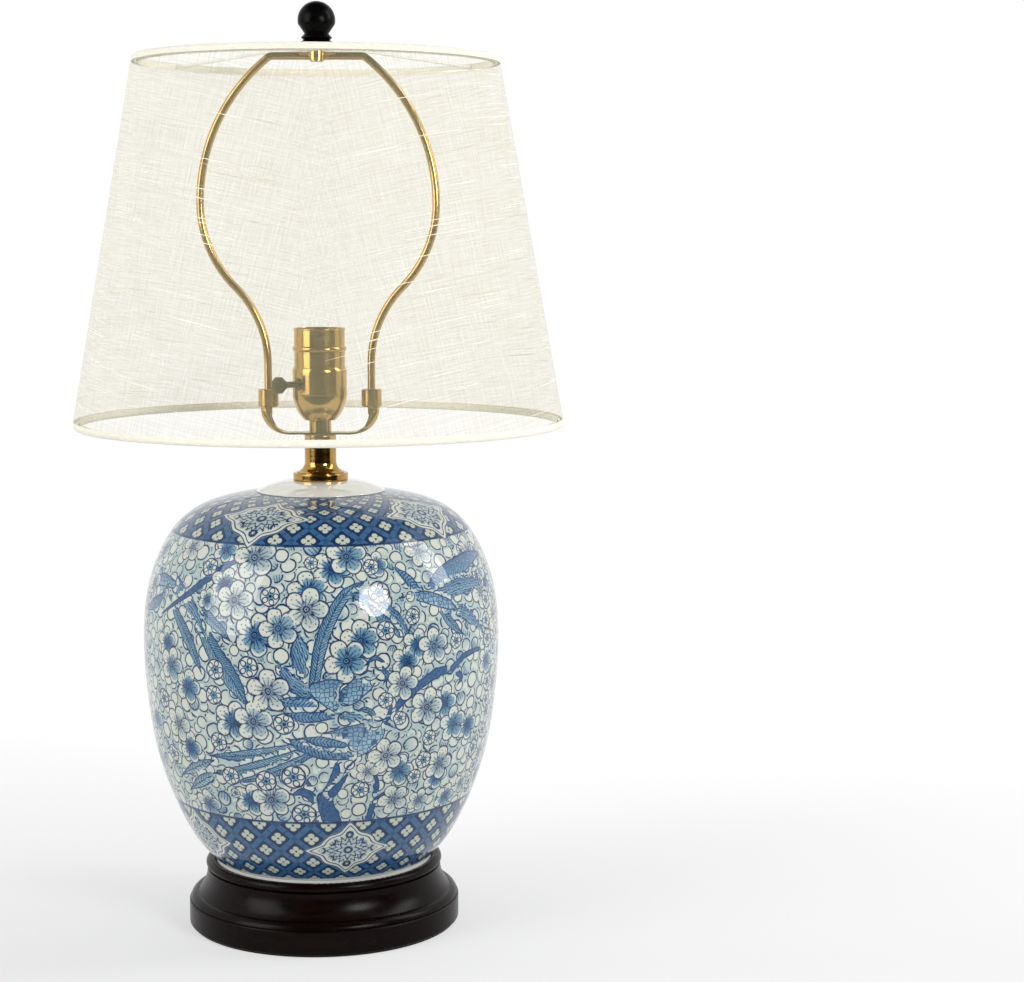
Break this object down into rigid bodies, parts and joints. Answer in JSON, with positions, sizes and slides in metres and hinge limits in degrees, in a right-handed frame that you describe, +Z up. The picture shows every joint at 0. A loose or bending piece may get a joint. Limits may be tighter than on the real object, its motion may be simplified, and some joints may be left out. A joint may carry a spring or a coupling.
{
  "type": "table lamp",
  "caption": "Table lamp with a painted porcelain ginger jar on a turned wood stand, a brass harp and keyed socket, and a tapered linen shade under a black finial.",
  "frame": {"origin": "centre of the underside of the stand, on the lamp's axis", "axes": "+Z up along the lamp's axis, -Y towards the front, harp in the XZ plane"},
  "size_m": [0.3292, 0.3292, 0.6233],
  "materials": {
    "stand_wood": "dark lacquer, satin gloss",
    "felt": "wool felt",
    "bushing_plastic": "moulded",
    "zinc_steel": "zinc plated",
    "porcelain": "gloss glaze over blue painting",
    "white_porcelain": "gloss glaze",
    "polished_brass": "polished, lacquered",
    "lamp_core": "moulded",
    "fibre": "pressed fibre",
    "aluminium_shell": "rolled",
    "contact_brass": "stamped",
    "key_black": "moulded",
    "frame_wire": "white painted wire",
    "clear_film": "clear stiff film",
    "linen": "off-white slub linen, open weave",
    "finial_black": "black enamel"
  },
  "bodies": {
    "lamp_base": {"felt_pad": "felt", "base_stand": "stand_wood", "cord_bushing": "bushing_plastic", "base_washer": "zinc_steel", "base_nut": "zinc_steel", "lamp_pipe": "zinc_steel", "jar_body": "porcelain", "mouth_cap": "white_porcelain", "brass_neck": "polished_brass", "harp_saddle": "polished_brass", "socket_cup": "polished_brass", "hub_screw": "zinc_steel", "socket_shell": "polished_brass", "insulating_liner": "fibre", "socket_interior": "lamp_core", "terminal_screws": "contact_brass", "screw_shell": "aluminium_shell", "centre_contact": "contact_brass"},
    "harp_loop": {"harp": "polished_brass"},
    "left_ferrule": {"ferrule_left": "polished_brass"},
    "right_ferrule": {"ferrule_right": "polished_brass"},
    "swivel_stud": {"harp_stud": "polished_brass"},
    "lampshade": {"shade_top_ring": "frame_wire", "shade_spider": "frame_wire", "shade_bottom_ring": "frame_wire", "shade_liner": "clear_film", "shade_panel_right": "linen", "shade_panel_left": "linen", "shade_hem_top": "linen", "shade_hem_bottom": "linen"},
    "top_finial": {"finial": "finial_black"},
    "turn_key": {"key_shaft": "key_black", "key_knob": "key_black"}
  },
  "joints": [
    {"name": "harp_lift", "type": "slide", "parent": "lamp_base", "child": "harp_loop", "axis": [0, 0, 1], "range_m": [0, 0.03]},
    {"name": "left_ferrule_slide", "type": "slide", "parent": "harp_loop", "child": "left_ferrule", "axis": [0, 0, 1], "range_m": [0, 0.012]},
    {"name": "right_ferrule_slide", "type": "slide", "parent": "harp_loop", "child": "right_ferrule", "axis": [0, 0, 1], "range_m": [0, 0.012]},
    {"name": "stud_swivel", "type": "hinge", "parent": "harp_loop", "child": "swivel_stud", "pos_m": [0, 0, 0.5874], "axis": [0, 0, 1], "continuous": true},
    {"name": "shade_lift", "type": "slide", "parent": "swivel_stud", "child": "lampshade", "axis": [0, 0, 1], "range_m": [0, 0.26]},
    {"name": "finial_lift", "type": "slide", "parent": "lampshade", "child": "top_finial", "axis": [0, 0, 1], "range_m": [0, 0.03]},
    {"name": "key_turn", "type": "hinge", "parent": "lamp_base", "child": "turn_key", "pos_m": [0, 0, 0.3699], "axis": [-0.7314, -0.682, 0], "continuous": true}
  ]
}
